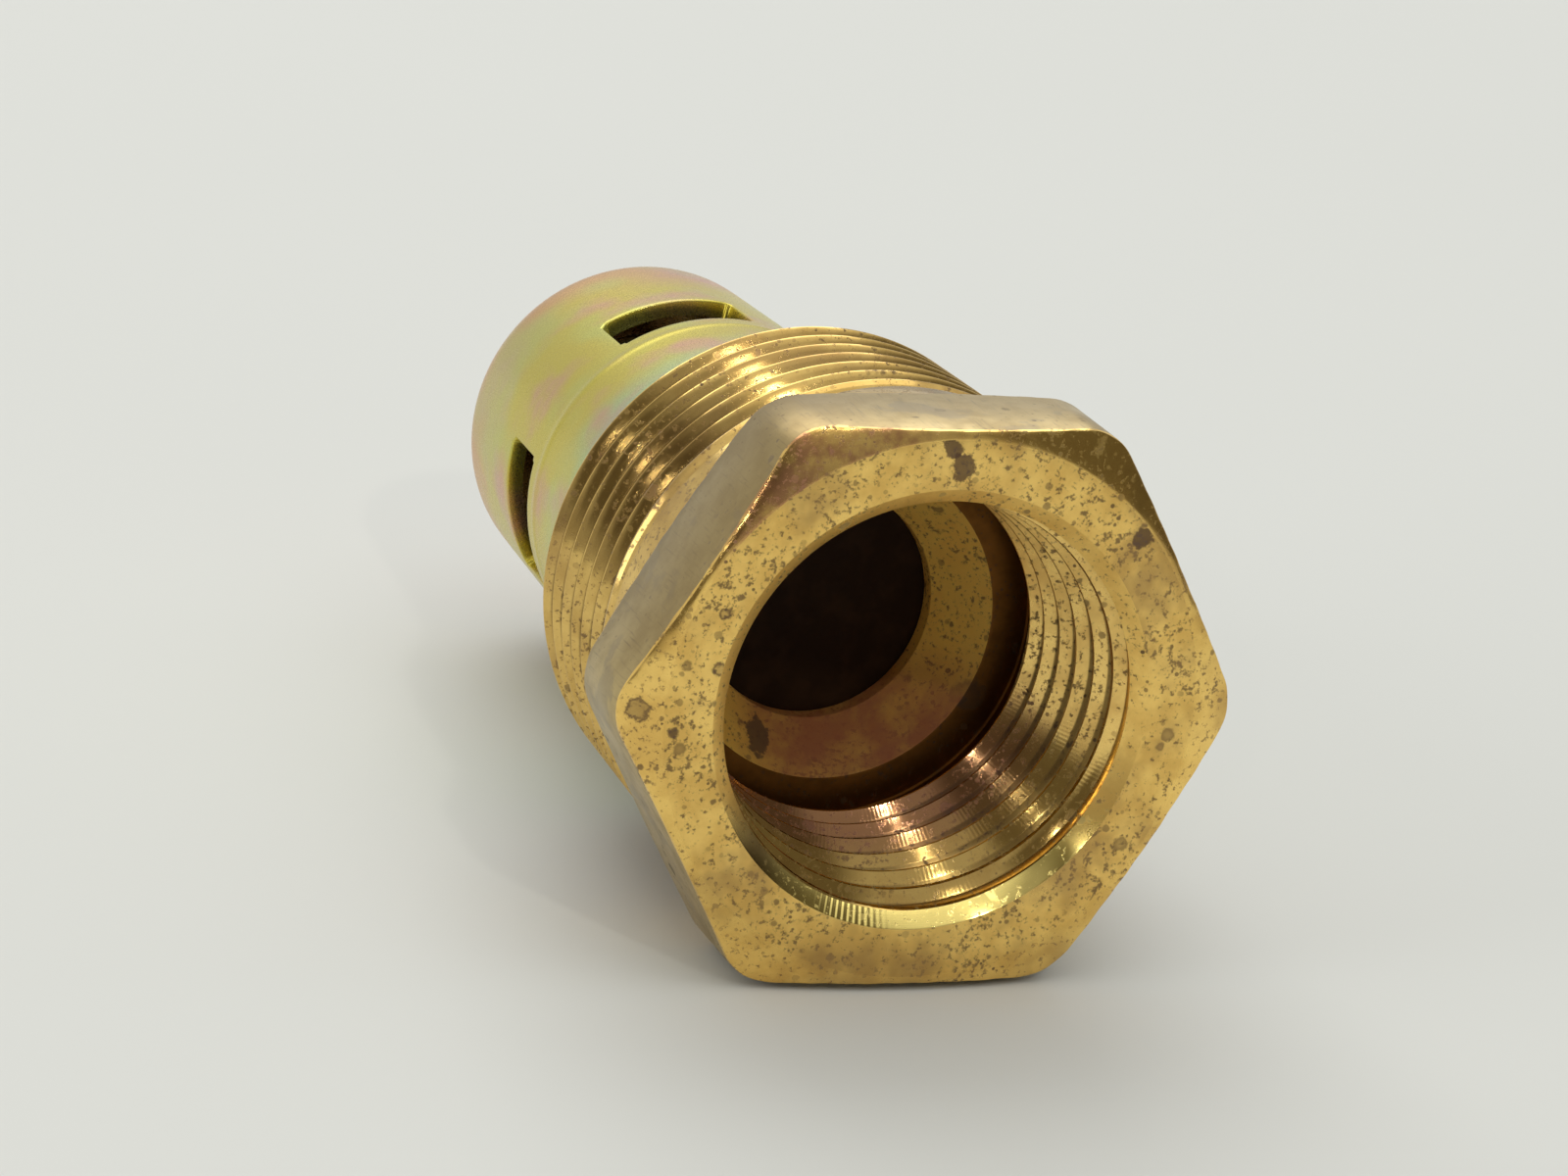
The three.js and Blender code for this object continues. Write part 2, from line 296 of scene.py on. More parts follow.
# ------------------------------------------------------------------ valve body
def hex_radius(corner):
    """The rounded hexagon's radius at each column. Corners point along +X and every 60 degrees."""
    off = (ANGLE + math.pi / 6) % (math.pi / 3) - math.pi / 6
    flat = FLAT / np.cos(math.pi / 6 - np.abs(off))
    centre = (FLAT - corner) / math.cos(math.pi / 6)
    reach = np.maximum(corner ** 2 - (centre * np.sin(off)) ** 2, 0)
    arc = centre * np.cos(off) + np.sqrt(reach)
    tangent = math.atan2(corner / 2, centre + corner * math.cos(math.pi / 6))
    return np.where(np.abs(off) < tangent, arc, flat)


def chamfer_y(radius):
    return np.maximum(radius - FACE_RADIUS, 0) * CHAMFER_SLOPE


def hexagon_rows():
    """The front chamfer, the six flats and the back chamfer, with slightly worn edges."""
    rim = hex_radius(HEX_CORNER)
    wear = 0.15 + 0.04 * np.sin(23 * ANGLE) * np.sin(7 * ANGLE + 1) + 0.03 * np.sin(61 * ANGLE)
    front = [
        (rim - 1.2 * wear, chamfer_y(rim - 1.2 * wear)),
        (rim - 0.35 * wear, chamfer_y(rim) + 0.12 * wear),
        (rim, chamfer_y(rim) + wear),
    ]
    back = [(radius, HEX_HEIGHT - y) for radius, y in reversed(front)]
    return front, back


def outlet_rows(soft):
    """From the rolled lip down the chamber to the seat, then through the orifice to the cone."""
    lip = fillet(LIP_RADIUS + 0.4, BODY_LENGTH - 0.4, 0.4, 90, 180)
    floor = fillet(CHAMBER_RADIUS - 0.25, CHAMBER_FLOOR + 0.25, 0.25, 0, -90)
    seat_outer = fillet(SEAT_RADIUS - soft, SEAT_Y - soft, soft, 0, 90)
    seat_inner = fillet(ORIFICE_RADIUS + soft, SEAT_Y - soft, soft, 90, 180)
    return [
        *lip,
        (LIP_RADIUS, LIP_START), (CHAMBER_RADIUS, LIP_START - CHAMBER_RADIUS + LIP_RADIUS),
        *floor, (SEAT_RADIUS, CHAMBER_FLOOR), *seat_outer, *seat_inner,
        (ORIFICE_RADIUS, CONE_END + 0.05), (ORIFICE_RADIUS + 0.03, CONE_END),
    ]


def valve_body():
    front, back = hexagon_rows()
    soft = 0.1
    face = [(MOUTH_RADIUS + 0.05, 0), (12.2, 0), (13.2, 0), (FACE_RADIUS - soft, 0)]
    shoulder = (FACE_RADIUS + soft, soft * CHAMFER_SLOPE)
    back_shoulder = (FACE_RADIUS + soft, HEX_HEIGHT - soft * CHAMFER_SLOPE)
    back_face = [(FACE_RADIUS - soft, HEX_HEIGHT), (NECK_RADIUS + soft, HEX_HEIGHT)]
    neck_rows = [(NECK_RADIUS, HEX_HEIGHT + soft), (shank_radius(NECK_END), NECK_END)]
    tip_y = BODY_LENGTH - END_CHAMFER - 0.6
    thread = helix_rows(NECK_END, tip_y, MALE_PHASE, male_radius)
    tip = helix_rows(tip_y, BODY_LENGTH, MALE_PHASE, male_radius)
    end_edge = around(BODY_LENGTH)
    end_face = [(male_radius(end_edge), end_edge)]
    inner = outlet_rows(soft)
    cone = [inner[-1], (CONE_RADIUS - 0.05, RELIEF_END + 0.03)]
    relief_y = THREAD_END + (RELIEF_RADIUS - BORE_RADIUS) * FLANK
    relief = [
        cone[-1], (CONE_RADIUS + 0.04, RELIEF_END), (RELIEF_RADIUS - soft, RELIEF_END),
        (RELIEF_RADIUS, RELIEF_END - soft), (RELIEF_RADIUS, relief_y),
    ]
    run_out = helix_rows(THREAD_END, relief_y, FEMALE_PHASE, female_radius)
    bore = helix_rows(MOUTH_DEPTH, THREAD_END, FEMALE_PHASE, female_radius)
    mouth_row = around(MOUTH_DEPTH)
    sink = [(female_radius(mouth_row), mouth_row)]
    sink += [(MOUTH_RADIUS, 0.03), (MOUTH_RADIUS + 0.05, 0)]
    turned, flats, threaded, bored, sunk, inside, undercut, bevelled = range(8)
    piece = swept_mesh("valve_body_brass", [
        (turned, face),
        (bevelled, face[-1:] + [shoulder] + front[:1]),
        (bevelled, front),
        (flats, front[-1:] + back[:1]),
        (bevelled, back),
        (bevelled, back[-1:] + [back_shoulder] + back_face[:1]),
        (turned, back_face + neck_rows[:1]),
        (threaded, neck_rows),
        (threaded, thread),
        (threaded, tip),
        (inside, end_face + inner[:1]),
        (inside, inner),
        (inside, cone),
        (undercut, relief),
        (bored, run_out[::-1]),
        (bored, bore[::-1]),
        (sunk, sink),
    ])
    finish_surface(piece, 24)
    dress(piece, turned_brass(), bar_brass(), thread_brass(), bore_brass(), sink_brass(),
          inner_brass(), undercut_oxide_and_shade(), bevel_brass())
    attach(piece, "valve")
    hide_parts("valve_body")


# ------------------------------------------------------------------ retainer cage
def cage_radius(y):
    share = (y - CAGE_TAPER_START) / (CAGE_END - CAGE_CORNER - CAGE_TAPER_START)
    taper = CAGE_MOUTH + (CAGE_END_RADIUS - CAGE_MOUTH) * np.clip(share, 0, 1)
    return taper + 0.05 * np.exp(-((y - CREASE_Y) / 0.35) ** 2)


def slot_distance(angle, y):
    """How far outside the nearest slot's rounded outline a point of the wall is, in mm."""
    middle = math.radians(FIRST_SLOT)
    off = (angle - middle + math.pi / 4) % (math.pi / 2) - math.pi / 4
    radius = cage_radius(np.asarray(y, float))
    across = np.abs(off) * radius - math.radians(SLOT_HALF_ANGLE) * radius + SLOT_CORNER
    along = np.abs(y - (SLOT_LOW + SLOT_HIGH) / 2) - (SLOT_HIGH - SLOT_LOW) / 2 + SLOT_CORNER
    outside = np.hypot(np.maximum(across, 0), np.maximum(along, 0))
    return outside + np.minimum(np.maximum(across, along), 0) - SLOT_CORNER


def cage_columns():
    """Column angles whose lines run exactly along both sides of every slot."""
    half = SLOT_HALF_ANGLE
    quarter = [*np.linspace(-half, half, 33)[:-1], *np.linspace(half, 90 - half, 29)[:-1]]
    return np.radians([FIRST_SLOT + 90 * turn + a for turn in range(4) for a in quarter])


def cage_profile():
    """The cage's outer line as (radius, y), from its flange to the middle of its closed end."""
    flange_top = CAGE_START + FLANGE_HEIGHT
    points = [(CAGE_FLANGE, CAGE_START), (CAGE_FLANGE, flange_top), (CAGE_MOUTH, flange_top + 0.5)]
    heights = [*np.linspace(flange_top + 1.2, 34, 12), *np.linspace(34.2, 35.4, 9)]
    heights += [35.7, *np.linspace(SLOT_LOW, SLOT_HIGH, 17), 40.6, 41.2, 42.4, 44, 45.8]
    points += [(float(cage_radius(y)), y) for y in heights]
    bend_y = CAGE_END - CAGE_CORNER
    points += fillet(CAGE_END_RADIUS - CAGE_CORNER, bend_y, CAGE_CORNER, 0, 90, 12)
    flat = CAGE_END_RADIUS - CAGE_CORNER
    points += [(flat * share, CAGE_END) for share in (0.8, 0.6, 0.4, 0.2, 0.08)]
    return points


def snap_to_slot(angle, y):
    """Moves a point of the slot's stepped corner onto the rounded outline."""
    small = 1e-4
    for _ in range(4):
        gap = slot_distance(angle, y)
        slope_a = (slot_distance(angle + small, y) - gap) / small
        slope_y = (slot_distance(angle, y + small) - gap) / small
        radius = float(cage_radius(np.asarray(y, float)))
        size = (slope_a / radius) ** 2 + slope_y ** 2
        angle -= gap * slope_a / radius ** 2 / size
        y -= gap * slope_y / size
    return angle, y


def cage_shell():
    """The cage's outer surface, open at the flange and at the slots."""
    columns = cage_columns()
    profile = cage_profile()
    count = len(columns)
    places = [[angle, radius, y] for radius, y in profile for angle in columns]
    faces = []
    for row in range(len(profile) - 1):
        middle_y = (profile[row][1] + profile[row + 1][1]) / 2
        for column in range(count):
            after = (column + 1) % count
            step = (columns[after] - columns[column]) % (2 * math.pi)
            middle = columns[column] + step / 2
            if slot_distance(middle, middle_y) > 0:
                base = row * count
                faces.append([base + column, base + after, base + count + after,
                              base + count + column])
    rim_rows = [i for i, (_, y) in enumerate(profile) if SLOT_LOW <= y <= SLOT_HIGH]
    used = {v for face in faces for v in face}
    for row in rim_rows:
        for column in range(count):
            place = places[row * count + column]
            gap = slot_distance(place[0], place[2])
            if row * count + column in used and gap < -1e-6:
                place[0], place[2] = snap_to_slot(place[0], place[2])
                place[1] = float(cage_radius(np.asarray(place[2])))
    top = len(places)
    last = (len(profile) - 1) * count
    faces += [[last + column, last + (column + 1) % count, top] for column in range(count)]
    points = [(r * math.cos(a), y, r * math.sin(a)) for a, r, y in places]
    points.append((0, CAGE_END, 0))
    order = sorted({v for face in faces for v in face})
    index = {v: i for i, v in enumerate(order)}
    faces = [[index[v] for v in face] for face in faces]
    return mesh_object("cage_shell", [points[v] for v in order], faces)


def retainer_cage():
    piece = cage_shell()
    finish_surface(piece, 60)
    wall = piece.modifiers.new("wall", "SOLIDIFY")
    wall.thickness = CAGE_WALL * MM
    wall.offset = -1
    wall.use_even_offset = True
    lips = piece.modifiers.new("lips", "BEVEL")
    lips.width = 0.3 * MM
    lips.segments = 3
    lips.limit_method = "ANGLE"
    lips.angle_limit = math.radians(50)
    apply_modifiers(piece)
    finish_surface(piece, 50)
    dress(piece, yellow_zinc())
    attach(piece, "valve")
    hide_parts("retainer_cage")


# ------------------------------------------------------------------ seat disc, poppet, spring
def seat_disc():
    edge = 0.3
    low = fillet(DISC_RADIUS - edge, DISC_START + edge, edge, -90, 0)
    high = fillet(DISC_RADIUS - 0.15, DISC_END - 0.15, 0.15, 0, 90)
    outline = [(0.0, DISC_START), (5.9, DISC_START), (6.6, DISC_START + 0.03)]
    outline += [*low, *high, (0.0, DISC_END)]
    piece = swept_mesh("seat_disc_rubber", [(0, outline)])
    finish_surface(piece)
    dress(piece, seat_rubber())
    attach(piece, "poppet")
    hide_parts("seat_disc")


def poppet_blank():
    """The round part of the poppet: the cup that holds the disc, the head and the stem."""
    pocket = DISC_RADIUS + 0.3
    floor = DISC_END + 0.3
    edge = 0.25
    outline = [(0.0, floor), (pocket - edge, floor)]
    outline += [(pocket, floor - edge), (pocket, POPPET_START)]
    outline += fillet(HEAD_RADIUS - edge, POPPET_START + edge, edge, -90, 0)[1:]
    outline += fillet(HEAD_RADIUS - edge, HEAD_END - edge, edge, 0, 90)
    outline += fillet(STEM_RADIUS + edge, HEAD_END + edge, edge, 270, 180)
    outline += fillet(STEM_RADIUS - 0.8, POPPET_END - 0.8, 0.8, 0, 90, 6)
    outline += [(0.0, POPPET_END)]
    return swept_mesh("poppet_moulding", [(0, outline)], np.linspace(0, 2 * math.pi, 97))


def poppet_rib(index):
    """One guide rib on the head's rim, a rounded block that sinks into the head."""
    inner = COIL_RADIUS + WIRE + 0.3
    low = DISC_END + 0.1
    work = bmesh.new()
    bmesh.ops.create_cube(work, size=1)
    size = Vector((RIB_RADIUS - inner, RIB_END - low, RIB_WIDTH))
    bmesh.ops.scale(work, vec=size, verts=work.verts)
    centre = Vector(((RIB_RADIUS + inner) / 2, (RIB_END + low) / 2, 0))
    bmesh.ops.translate(work, vec=centre, verts=work.verts)
    bmesh.ops.bevel(work, geom=work.edges[:], offset=0.3, segments=3, affect="EDGES")
    bmesh.ops.rotate(work, matrix=Matrix.Rotation(index * math.pi / 2, 3, "Y"), verts=work.verts)
    points = [tuple(v.co) for v in work.verts]
    faces = [[v.index for v in face.verts] for face in work.faces]
    work.free()
    return mesh_object(f"rib_{index}", points, faces)


def poppet():
    piece = poppet_blank()
    finish_surface(piece)
    for index in range(4):
        rib = poppet_rib(index)
        finish_surface(rib)
        join = piece.modifiers.new(f"rib_{index}", "BOOLEAN")
        join.operation = "UNION"
        join.object = rib
        apply_modifiers(piece)
        bpy.data.objects.remove(rib)
    finish_surface(piece)
    dress(piece, black_nylon())
    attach(piece, "poppet")
    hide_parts("poppet")


def spring():
    """A round wire on a helix, with closed turns at both ends."""
    half = WIRE / 2
    start = SPRING_START + half
    length = SPRING_END - SPRING_START - WIRE
    turns = ACTIVE_TURNS + 2 * CLOSED_TURNS
    pitch = (length - 2 * CLOSED_TURNS * CLOSED_PITCH) / ACTIVE_TURNS
    steps = int(turns * 40)
    sides = 16
    points = []
    for step in range(steps + 1):
        turn = step * turns / steps
        active = min(max(turn - CLOSED_TURNS, 0), ACTIVE_TURNS)
        y = start + (turn - active) * CLOSED_PITCH + active * pitch
        a = 2 * math.pi * turn
        for side in range(sides):
            b = 2 * math.pi * side / sides
            radius = COIL_RADIUS + half * math.cos(b)
            points.append((radius * math.cos(a), y + half * math.sin(b), -radius * math.sin(a)))
    faces = []
    for step in range(steps):
        for side in range(sides):
            a = step * sides + side
            b = step * sides + (side + 1) % sides
            faces.append([a, b, b + sides, a + sides])
    faces.append(list(range(sides)))
    faces.append([steps * sides + side for side in reversed(range(sides))])
    piece = mesh_object("spring_coil", points, faces)
    finish_surface(piece, 60)
    dress(piece, spring_steel())
    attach(piece, "valve")
    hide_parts("spring")
    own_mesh(piece)


# ------------------------------------------------------------------ material tools
class Shader:
    """A material's node tree, with one short call for each kind of node it needs."""

    def __init__(self, name):
        self.material = bpy.data.materials.new(name)
        self.material.use_nodes = True
        self.tree = self.material.node_tree
        self.tree.nodes.clear()
        self.out = self.tree.nodes.new("ShaderNodeOutputMaterial")
        self.surface = self.tree.nodes.new("ShaderNodeBsdfPrincipled")
        self.tree.links.new(self.surface.outputs[0], self.out.inputs["Surface"])
        coordinates = self.tree.nodes.new("ShaderNodeTexCoord").outputs["Object"]
        self.place = self.scaled(coordinates, 1 / MM)
        split = self.tree.nodes.new("ShaderNodeSeparateXYZ")
        self.link(self.place, split.inputs[0])
        self.x, self.z = split.outputs[0], split.outputs[2]
        self.y = self.math("SUBTRACT", split.outputs[1], INLET_Y / MM)
        squares = self.math("ADD", self.math("MULTIPLY", self.x, self.x),
                            self.math("MULTIPLY", self.z, self.z))
        self.radius = self.math("SQRT", squares)
        self.turn = self.math("ARCTAN2", self.z, self.x)

    def link(self, source, socket):
        if isinstance(source, bpy.types.NodeSocket):
            self.tree.links.new(source, socket)
        else:
            socket.default_value = source

    def math(self, operation, a, b=0.0, clamp=False):
        node = self.tree.nodes.new("ShaderNodeMath")
        node.operation = operation
        node.use_clamp = clamp
        self.link(a, node.inputs[0])
        self.link(b, node.inputs[1])
        return node.outputs[0]

    def scaled(self, place, scale):
        node = self.tree.nodes.new("ShaderNodeVectorMath")
        node.operation = "SCALE"
        self.link(place, node.inputs[0])
        self.link(scale, node.inputs["Scale"])
        return node.outputs["Vector"]

    def combine(self, x, y, z):
        node = self.tree.nodes.new("ShaderNodeCombineXYZ")
        for value, socket in zip((x, y, z), node.inputs):
            self.link(value, socket)
        return node.outputs[0]

    def noise(self, place, scale, detail=3.0, roughness=0.55):
        node = self.tree.nodes.new("ShaderNodeTexNoise")
        self.link(place, node.inputs["Vector"])
        node.inputs["Scale"].default_value = scale
        node.inputs["Detail"].default_value = detail
        node.inputs["Roughness"].default_value = roughness
        return node.outputs["Fac"]

    def cells(self, place, scale):
        """Voronoi cells: the distance to the nearest centre, and that cell's random colour."""
        node = self.tree.nodes.new("ShaderNodeTexVoronoi")
        self.link(place, node.inputs["Vector"])
        node.inputs["Scale"].default_value = scale
        return node.outputs["Distance"], node.outputs["Color"]

    def ramp(self, value, low, high, to_low=0.0, to_high=1.0, smooth=True):
        node = self.tree.nodes.new("ShaderNodeMapRange")
        node.interpolation_type = "SMOOTHSTEP" if smooth else "LINEAR"
        self.link(value, node.inputs["Value"])
        for name, number in (("From Min", low), ("From Max", high),
                             ("To Min", to_low), ("To Max", to_high)):
            self.link(number, node.inputs[name])
        return node.outputs["Result"]

    def mix(self, share, a, b):
        node = self.tree.nodes.new("ShaderNodeMix")
        node.data_type = "RGBA"
        self.link(share, node.inputs["Factor"])
        for colour, socket in ((a, node.inputs[6]), (b, node.inputs[7])):
            self.link(colour if isinstance(colour, bpy.types.NodeSocket) else (*colour, 1), socket)
        return node.outputs[2]

    def band(self, value, middle, width):
        """1 at middle, falling smoothly to 0 at width away."""
        off = self.math("ABSOLUTE", self.math("SUBTRACT", value, middle))
        return self.ramp(off, 0.0, width, 1.0, 0.0)

    def both(self, a, b):
        return self.math("MULTIPLY", a, b, clamp=True)

    def either(self, a, b):
        return self.math("MAXIMUM", a, b, clamp=True)

    def bump(self, height, strength, distance):
        node = self.tree.nodes.new("ShaderNodeBump")
        node.inputs["Strength"].default_value = strength
        node.inputs["Distance"].default_value = distance * MM
        self.link(height, node.inputs["Height"])
        self.link(node.outputs[0], self.surface.inputs["Normal"])

    def brushed(self, amount):
        """Circumferential tool marks: highlights stretch across them, along the axis."""
        tangent = self.tree.nodes.new("ShaderNodeTangent")
        tangent.direction_type = "RADIAL"
        tangent.axis = "Y"
        self.link(tangent.outputs[0], self.surface.inputs["Tangent"])
        self.surface.inputs["Anisotropic"].default_value = amount
        self.surface.inputs["Anisotropic Rotation"].default_value = 0.25

    def set(self, **values):
        """Sets or links the shader's own sockets, named with _ for a space."""
        for name, value in values.items():
            self.link(value, self.surface.inputs[name.replace("_", " ")])
        return self.material


def scattered(s, scale, size, share, ragged=0.0, rim=0.0):
    """Round spots in a share of the cells. With a rim, the middle of each spot is paler."""
    distance, colour = s.cells(s.place, scale)
    pick = s.tree.nodes.new("ShaderNodeSeparateColor")
    s.link(colour, pick.inputs[0])
    reach = s.ramp(pick.outputs[0], 1.0 - share, 1.0, 0.0, size, False)
    chosen = s.ramp(pick.outputs[0], 1.0 - share, 1.02 - share, 0.0, 1.0)
    edge = s.math("MULTIPLY", s.math("SUBTRACT", s.noise(s.place, 2.4 * scale + 1.2, 3), 0.5), ragged)
    inside = s.math("SUBTRACT", s.math("ADD", reach, edge), distance)
    spot = s.ramp(inside, 0.0, 0.09)
    if rim:
        spot = s.math("SUBTRACT", spot, s.math("MULTIPLY", s.ramp(inside, 0.05, 0.2), rim))
    return s.math("MULTIPLY", s.math("MULTIPLY", spot, chosen), s.ramp(pick.outputs[1], 0, 1, 0.65, 1))


def speckle(s, density):
    """Corrosion marks: fine pits, crowded in places, then dots, then a few large ringed stains."""
    crowd = s.noise(s.place, 0.2, 3)
    thick = s.ramp(crowd, 0.36, 0.62, 0.25, 1.0)
    least = s.ramp(crowd, 0.3, 0.7, 0.61 - 0.03 * density, 0.545 - 0.03 * density)
    fine = s.noise(s.place, 3.2, 5, 0.66)
    pits = s.math("MULTIPLY", s.ramp(s.math("SUBTRACT", fine, least), 0.0, 0.12), 0.8)
    share = 0.30 + 0.12 * density
    dots = s.either(scattered(s, 2.6, 0.36, share, 0.2), scattered(s, 1.3, 0.33, share, 0.25))
    dots = s.math("MULTIPLY", dots, thick)
    stains = s.either(scattered(s, 0.55, 0.28, 0.30 + 0.08 * density, 0.25, 0.3),
                      scattered(s, 0.26, 0.26, 0.22 + 0.08 * density, 0.3, 0.35))
    return pits, s.either(dots, stains)


def brass(name, clean, dull, brown, density=1.0, roughness=0.3):
    """Aged brass: two close tones in soft clouds, then brown pits, dots and stains."""
    s = Shader(name)
    cloud = s.noise(s.place, 0.45, 5, 0.6)
    colour = s.mix(s.ramp(cloud, 0.35, 0.68), clean, dull)
    pits, dots = speckle(s, density)
    marks = s.either(pits, dots)
    colour = s.mix(s.math("MULTIPLY", marks, 0.93), colour, brown)
    rough = s.math("ADD", s.ramp(cloud, 0.3, 0.7, roughness - 0.03, roughness + 0.05),
                   s.math("MULTIPLY", marks, 0.25))
    s.colour, s.marks, s.rough, s.cloud = colour, marks, rough, cloud
    return s


def finish_brass(s, height, strength, distance):
    """Sets the shader. Marks are sunk a little and are less metallic than the clean brass."""
    metal = s.ramp(s.marks, 0.0, 1.0, 1.0, 0.25, False)
    pitted = s.math("SUBTRACT", height, s.math("MULTIPLY", s.marks, 0.6))
    s.bump(pitted, strength, distance)
    return s.set(Base_Color=s.colour, Metallic=metal, Roughness=s.rough)


YELLOW = (1.0, 0.68, 0.20)
GOLD = (0.82, 0.52, 0.14)
BROWN = (0.085, 0.045, 0.018)
UMBER = (0.36, 0.21, 0.08)
ROSE = (0.42, 0.18, 0.11)
STAIN = (0.12, 0.07, 0.045)
FACE_STAINS = (                                     # x, z, size and how pale the middle is
    (0.0, 12.5, 0.75, 0.0),
    (-0.6, 13.4, 0.6, 0.0),
    (9.9, 8.9, 0.62, 0.0),
    (-13.3, -1.0, 0.3, 0.0),
    (-11.3, 5.0, 0.42, 0.6),
    (-11.3, 2.2, 0.42, 0.6),
)


def turning_rings(s, amount=1.0):
    """Fine concentric tool marks."""
    rings_at = s.noise(s.combine(s.radius, 0.0, 0.0), 14.0, 2)
    return s.math("MULTIPLY", rings_at, amount)


def hazed(s, share):
    """A soft brown tarnish in large clouds."""
    haze = s.ramp(s.noise(s.place, 0.15, 4, 0.6), 0.46, 0.66, 0.0, share)
    s.colour = s.mix(haze, s.colour, UMBER)


def stained(s, x, z, size, rim=0.0):
    """One ragged stain at a place across the axis. With a rim, its middle is paler."""
    gap = s.math("SQRT", s.math("ADD", s.math("POWER", s.math("SUBTRACT", s.x, x), 2.0),
                                s.math("POWER", s.math("SUBTRACT", s.z, z), 2.0)))
    ragged = s.math("MULTIPLY", s.math("SUBTRACT", s.noise(s.place, 1.3, 4, 0.7), 0.5), 1.8 * size)
    inside = s.math("SUBTRACT", size, s.math("ADD", gap, ragged))
    stain = s.ramp(inside, 0.0, 0.15)
    if rim:
        stain = s.math("SUBTRACT", stain, s.math("MULTIPLY", s.ramp(inside, 0.12, 0.3), rim))
    s.colour = s.mix(s.math("MULTIPLY", stain, 0.85), s.colour, STAIN)


def turned_brass():
    """The machined face, with a few large stains among the small ones."""
    s = brass("turned_brass", YELLOW, GOLD, BROWN, 1.6, 0.30)
    hazed(s, 0.65)
    for x, z, size, rim in FACE_STAINS:
        stained(s, x, z, size, rim)
    return finish_brass(s, turning_rings(s), 0.3, 0.02)


def bevel_brass():
    """The chamfers and worn edges, with a reddish blush on the upper left corners, as tarnish and painted
    reflection of a dark part of the room.
    """
    s = brass("bevel_brass", YELLOW, GOLD, BROWN, 1.0, 0.17)
    hazed(s, 0.5)
    # Painted reflection and tarnish: the upper left corners are painted a darker rose.
    corner = s.both(s.ramp(s.z, 6.5, 10.0), s.ramp(s.x, 1.0, -4.0))
    blush = s.ramp(s.noise(s.place, 0.9, 4, 0.6), 0.35, 0.65, 0.15, 0.75)
    s.colour = s.mix(s.math("MULTIPLY", corner, blush), s.colour, ROSE)
    stained(s, -15.1, 0.1, 0.65, 0.45)
    return finish_brass(s, turning_rings(s, 0.6), 0.2, 0.012)


def bar_brass():
    """The flats keep the dull, grey skin of drawn bar."""
    s = brass("bar_brass", (0.51, 0.39, 0.18), (0.39, 0.29, 0.13), (0.10, 0.075, 0.05), -1.2, 0.36)
    drawn = s.noise(s.combine(s.math("MULTIPLY", s.x, 9.0), s.math("MULTIPLY", s.y, 0.5),
                              s.math("MULTIPLY", s.z, 9.0)), 1.0, 3)
    s.colour = s.mix(s.ramp(drawn, 0.56, 0.74, 0.0, 0.55), s.colour, (0.20, 0.15, 0.09))
    stain = s.ramp(s.noise(s.place, 0.3, 4, 0.6), 0.55, 0.62, 0.0, 0.5)
    s.colour = s.mix(stain, s.colour, (0.30, 0.24, 0.15))
    # Painted reflection: the upper left flats are darker, as they mirror a darker part of the room.
    dark_reflection_upper_left = s.both(s.ramp(s.x, -3.0, -8.0), s.ramp(s.z, 0.0, 6.0))
    s.colour = s.mix(s.math("MULTIPLY", dark_reflection_upper_left, 0.45), s.colour, (0.27, 0.19, 0.08))
    return finish_brass(s, drawn, 0.2, 0.02)


def soot_and_groove_shade(s, depth, start, full):
    """Dark dirt and painted shade in the grooves of a thread from a depth in mm downwards, thinner
    further down.
    """
    soot_and_shade = s.both(s.ramp(depth, start, full, 0.0, 0.65), s.ramp(depth, full + 0.1, full + 0.4, 1.0, 0.35))
    # Painted shade and dirt: the grooves below the crest are painted dark brown.
    s.colour = s.mix(soot_and_shade, s.colour, (0.055, 0.035, 0.016))
    s.rough = s.math("ADD", s.rough, s.math("MULTIPLY", soot_and_shade, 0.3))


def thread_brass():
    """The male thread: smooth, with dirt and painted shade in its grooves, most of it low on the left."""
    s = brass("thread_brass", (0.82, 0.56, 0.18), (0.66, 0.43, 0.13), BROWN, 0.9, 0.11)
    hazed(s, 0.5)
    crest = s.math("SUBTRACT", MALE_CREST + BODY_LENGTH * TAPER, s.math("MULTIPLY", s.y, TAPER))
    # Painted shade and dirt: the grooves low on the left are darkened further.
    soot_and_shade_low_left = s.both(s.ramp(s.z, 3.0, -2.0), s.ramp(s.x, -7.0, -10.0))
    depth = s.math("ADD", s.math("SUBTRACT", crest, s.radius), s.math("MULTIPLY", soot_and_shade_low_left, 0.17))
    soot_and_groove_shade(s, depth, 0.45, 0.60)
    s.brushed(0.45)
    streaks = s.noise(s.combine(s.math("MULTIPLY", s.turn, 26.0), s.math("MULTIPLY", s.y, 2.0),
                                s.radius), 1.0, 4)
    return finish_brass(s, streaks, 0.14, 0.015)


def chatter(s, count):
    """Ripples that run along the axis, where the tap chattered."""
    wave = s.math("SINE", s.math("MULTIPLY", s.turn, count))
    patch = s.ramp(s.noise(s.place, 0.35, 2), 0.42, 0.6)
    return s.math("MULTIPLY", wave, patch)


